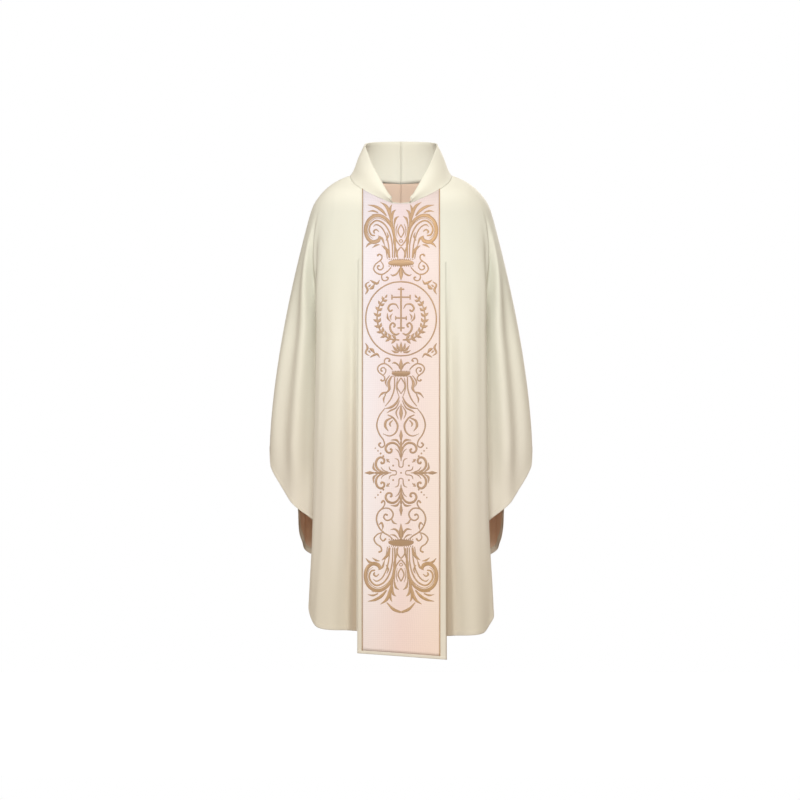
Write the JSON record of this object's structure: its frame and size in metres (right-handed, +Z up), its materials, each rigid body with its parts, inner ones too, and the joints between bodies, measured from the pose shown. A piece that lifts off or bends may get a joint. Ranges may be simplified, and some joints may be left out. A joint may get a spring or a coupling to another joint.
{
  "type": "chasuble",
  "caption": "Full gothic chasuble draped as worn: open stand-up collar, wide curved wings, and a brocade orphrey panel that hangs free down the front.",
  "frame": {"origin": "middle of the neckline, level with the two neck points where the shoulder seams end", "axes": "+Z up along the wearer's body, -Y the way the wearer faces, +X the wearer's left"},
  "size_m": [0.7006, 0.3776, 1.3658],
  "materials": {
    "cream_cloth": "smooth matt wool-weight cloth",
    "satin_lining": "soft satin",
    "pink_brocade": "satin brocade with gold thread",
    "gold_braid": "woven metallic thread",
    "collar_canvas": "stiff woven canvas"
  },
  "bodies": {
    "garment": {"front_left_cloth": "cream_cloth", "front_left_lining": "satin_lining", "front_left_hem_tape": "cream_cloth", "back_left_cloth": "cream_cloth", "back_left_lining": "satin_lining", "back_left_hem_tape": "cream_cloth", "front_right_cloth": "cream_cloth", "front_right_lining": "satin_lining", "front_right_hem_tape": "cream_cloth", "back_right_cloth": "cream_cloth", "back_right_lining": "satin_lining", "back_right_hem_tape": "cream_cloth", "collar_left_cloth": "cream_cloth", "collar_left_canvas": "collar_canvas", "collar_left_facing": "cream_cloth", "collar_right_cloth": "cream_cloth", "collar_right_canvas": "collar_canvas", "collar_right_facing": "cream_cloth", "front_band_upper": "cream_cloth", "front_orphrey_upper": "pink_brocade", "front_left_braid_upper": "gold_braid", "front_right_braid_upper": "gold_braid", "back_band": "cream_cloth", "back_orphrey": "pink_brocade", "back_left_braid": "gold_braid", "back_right_braid": "gold_braid"},
    "left_wing": {"left_wing_front_cloth": "cream_cloth", "left_wing_front_lining": "satin_lining", "left_wing_front_hem_tape": "cream_cloth", "left_wing_back_cloth": "cream_cloth", "left_wing_back_lining": "satin_lining", "left_wing_back_hem_tape": "cream_cloth"},
    "right_wing": {"right_wing_front_cloth": "cream_cloth", "right_wing_front_lining": "satin_lining", "right_wing_front_hem_tape": "cream_cloth", "right_wing_back_cloth": "cream_cloth", "right_wing_back_lining": "satin_lining", "right_wing_back_hem_tape": "cream_cloth"},
    "front_panel": {"front_band": "cream_cloth", "front_orphrey": "pink_brocade", "front_panel_lining": "satin_lining", "front_panel_hem": "cream_cloth", "front_left_braid": "gold_braid", "front_right_braid": "gold_braid"}
  },
  "joints": [
    {"name": "left_wing_lift", "type": "hinge", "parent": "garment", "child": "left_wing", "pos_m": [0.243, 0, -0.093], "axis": [0, -1, 0], "range_deg": [0, 40]},
    {"name": "right_wing_lift", "type": "hinge", "parent": "garment", "child": "right_wing", "pos_m": [-0.243, 0, -0.093], "axis": [0, 1, 0], "range_deg": [0, 40]},
    {"name": "front_panel_swing", "type": "hinge", "parent": "garment", "child": "front_panel", "pos_m": [0, -0.158, -0.3], "axis": [-1, 0, 0], "range_deg": [0, 25]}
  ]
}
